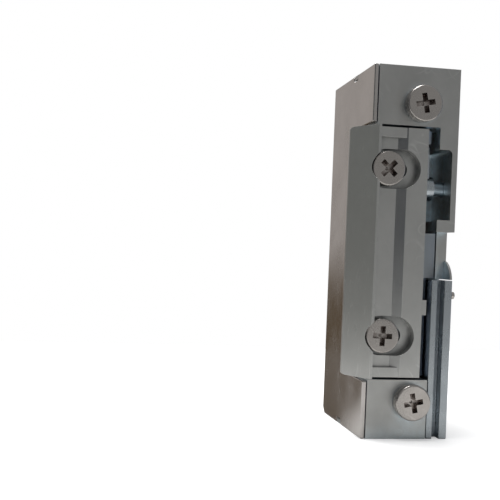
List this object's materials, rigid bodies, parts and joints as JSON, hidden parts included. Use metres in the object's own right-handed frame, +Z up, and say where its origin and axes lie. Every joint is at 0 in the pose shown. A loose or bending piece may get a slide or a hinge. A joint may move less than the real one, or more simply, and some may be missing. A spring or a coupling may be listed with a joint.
{
  "type": "electric door strike",
  "caption": "Narrow electric door strike: die-cast casing, swivelling keeper with an adjustable bevelled lip, coil and locking lever inside.",
  "frame": {"origin": "centre of the casing's bottom face", "axes": "+Z up along the casing's height; the front face with the keeper looks along -Y; the lip stands out towards -X"},
  "size_m": [0.0197, 0.0277, 0.066],
  "materials": {
    "casting": "satin zinc die casting, lightly worn",
    "side_steel": "zinc-plated sheet steel, satin",
    "rail_steel": "bluish zinc-plated steel, satin",
    "keeper_metal": "satin plated casting",
    "lip_metal": "satin plated, fine machining marks",
    "screw_nickel": "nickel-plated, bright rims",
    "pin_steel": "ground bright pin",
    "spring_steel": "drawn spring wire",
    "magnet_iron": "zinc-plated soft iron",
    "bobbin_plastic": "moulded black nylon",
    "copper_wire": "enamelled copper winding",
    "terminal_plastic": "moulded dark plastic",
    "terminal_brass": "bright brass",
    "lead_red": "thin insulated lead",
    "lead_black": "thin insulated lead"
  },
  "bodies": {
    "casing": {"housing": "casting", "side_plate": "side_steel", "side_rail": "rail_steel", "rail_rivet": "screw_nickel", "keeper_pin": "pin_steel", "keeper_spring": "spring_steel", "upper_mounting_screw": "screw_nickel", "lower_mounting_screw": "screw_nickel", "lever_pin": "pin_steel", "lever_spring": "spring_steel", "armature_spring": "spring_steel", "yoke": "magnet_iron", "core": "magnet_iron", "bobbin": "bobbin_plastic", "coil_winding": "copper_wire", "terminal_block": "terminal_plastic", "terminal_plate_a": "terminal_brass", "terminal_plate_b": "terminal_brass", "terminal_screw_a": "screw_nickel", "terminal_screw_b": "screw_nickel", "coil_lead_a": "lead_red", "coil_lead_b": "lead_black"},
    "swing_keeper": {"keeper": "keeper_metal"},
    "adjustable_lip": {"lip_plate": "lip_metal"},
    "upper_clamp_screw": {"upper_adjusting_screw": "screw_nickel"},
    "lower_clamp_screw": {"lower_adjusting_screw": "screw_nickel"},
    "lever": {"locking_lever": "rail_steel"},
    "armature_plate": {"armature": "magnet_iron"}
  },
  "joints": [
    {"name": "keeper_swing", "type": "hinge", "parent": "casing", "child": "swing_keeper", "pos_m": [-0.0018, -0.00455, 0.033], "axis": [0, 0, -1], "range_deg": [0, 32], "stiffness_Nm_per_rad": 0.02, "springref_deg": -22.92, "deforming": ["keeper_spring"]},
    {"name": "lip_adjust", "type": "slide", "parent": "swing_keeper", "child": "adjustable_lip", "axis": [-1, 0, 0], "range_m": [0, 0.0023]},
    {"name": "upper_screw_turn", "type": "hinge", "parent": "swing_keeper", "child": "upper_clamp_screw", "pos_m": [-0.0046, -0.01275, 0.0478], "axis": [0, -1, 0], "range_deg": [0, 180]},
    {"name": "lower_screw_turn", "type": "hinge", "parent": "swing_keeper", "child": "lower_clamp_screw", "pos_m": [-0.0046, -0.01275, 0.0182], "axis": [0, -1, 0], "range_deg": [0, 180]},
    {"name": "lever_swing", "type": "hinge", "parent": "casing", "child": "lever", "pos_m": [0.0036, -0.00815, 0.0449], "axis": [-1, 0, 0], "range_deg": [0, 9.2], "deforming": ["lever_spring"]},
    {"name": "armature_pull", "type": "hinge", "parent": "casing", "child": "armature_plate", "pos_m": [-0.0008, 0.01055, 0.01955], "axis": [1, 0, 0], "range_deg": [0, 6], "deforming": ["armature_spring"]}
  ],
  "couplings": [
    {"joint": "lever_swing", "follows": "keeper_swing", "ratio": 0.285},
    {"joint": "armature_pull", "follows": "keeper_swing", "ratio": 0.186}
  ]
}
